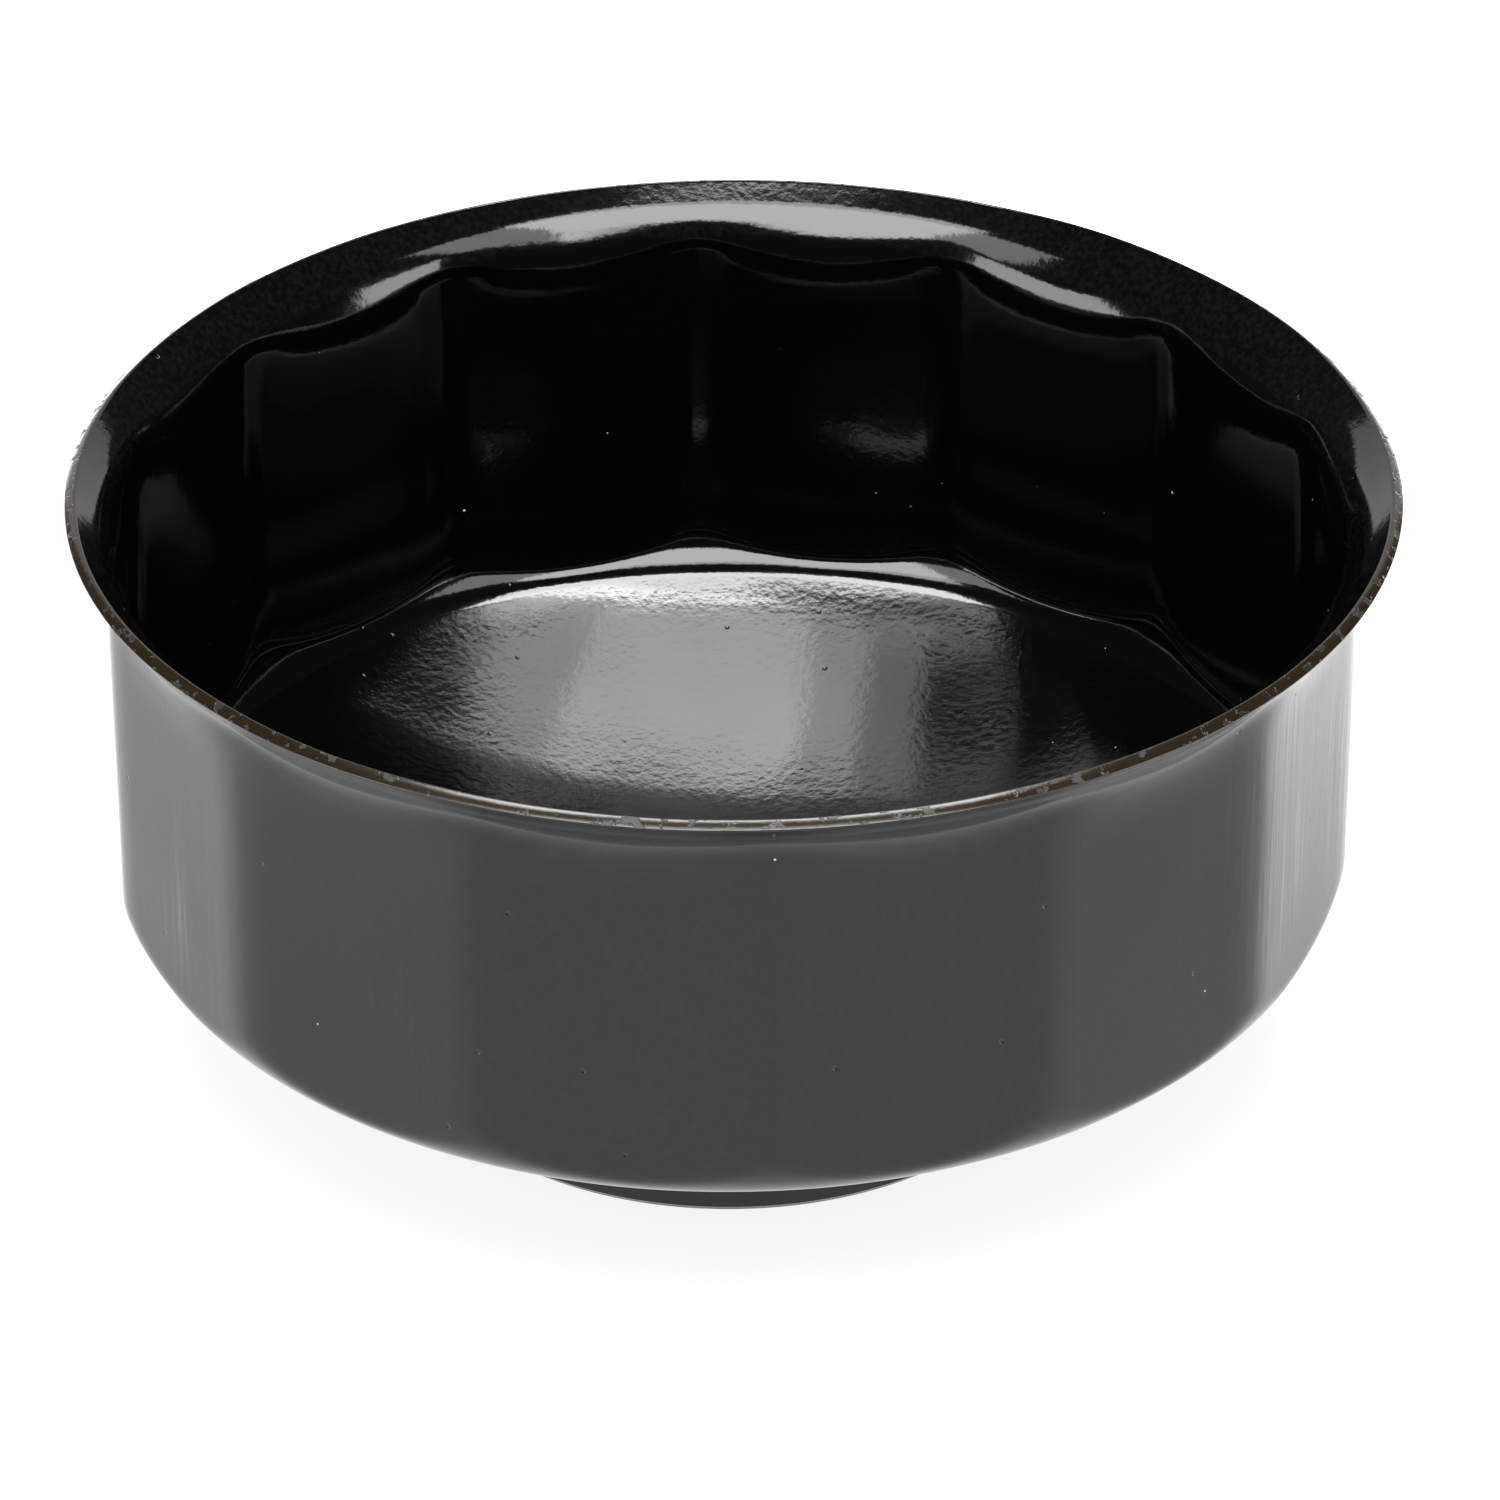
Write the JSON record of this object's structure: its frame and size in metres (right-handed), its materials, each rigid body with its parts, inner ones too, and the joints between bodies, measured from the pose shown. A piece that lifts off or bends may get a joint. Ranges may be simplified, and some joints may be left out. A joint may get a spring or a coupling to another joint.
{
  "type": "oil filter wrench",
  "caption": "Cap-type oil filter wrench: a black pressed steel cup with flat-sided wall and flared mouth, on a round hub with a square drive hole.",
  "frame": {"origin": "centre of the drive hub's lower face, which is the lowest face of the part", "axes": "+Z along the cup's axis towards its open mouth; a ridge between two flats lies on -Y and on +Y, and +X and -X are each the middle of a flat"},
  "size_m": [0.084, 0.084, 0.0412],
  "materials": {
    "cup_paint": "gloss black enamel over drawn sheet steel",
    "hub_paint": "gloss black enamel over turned steel",
    "weld_paint": "gloss black enamel over a rippled weld"
  },
  "bodies": {
    "root": {"cup_shell": "cup_paint", "drive_hub": "hub_paint", "weld_bead_1": "weld_paint", "weld_bead_2": "weld_paint", "weld_bead_3": "weld_paint", "weld_bead_4": "weld_paint"}
  },
  "joints": []
}
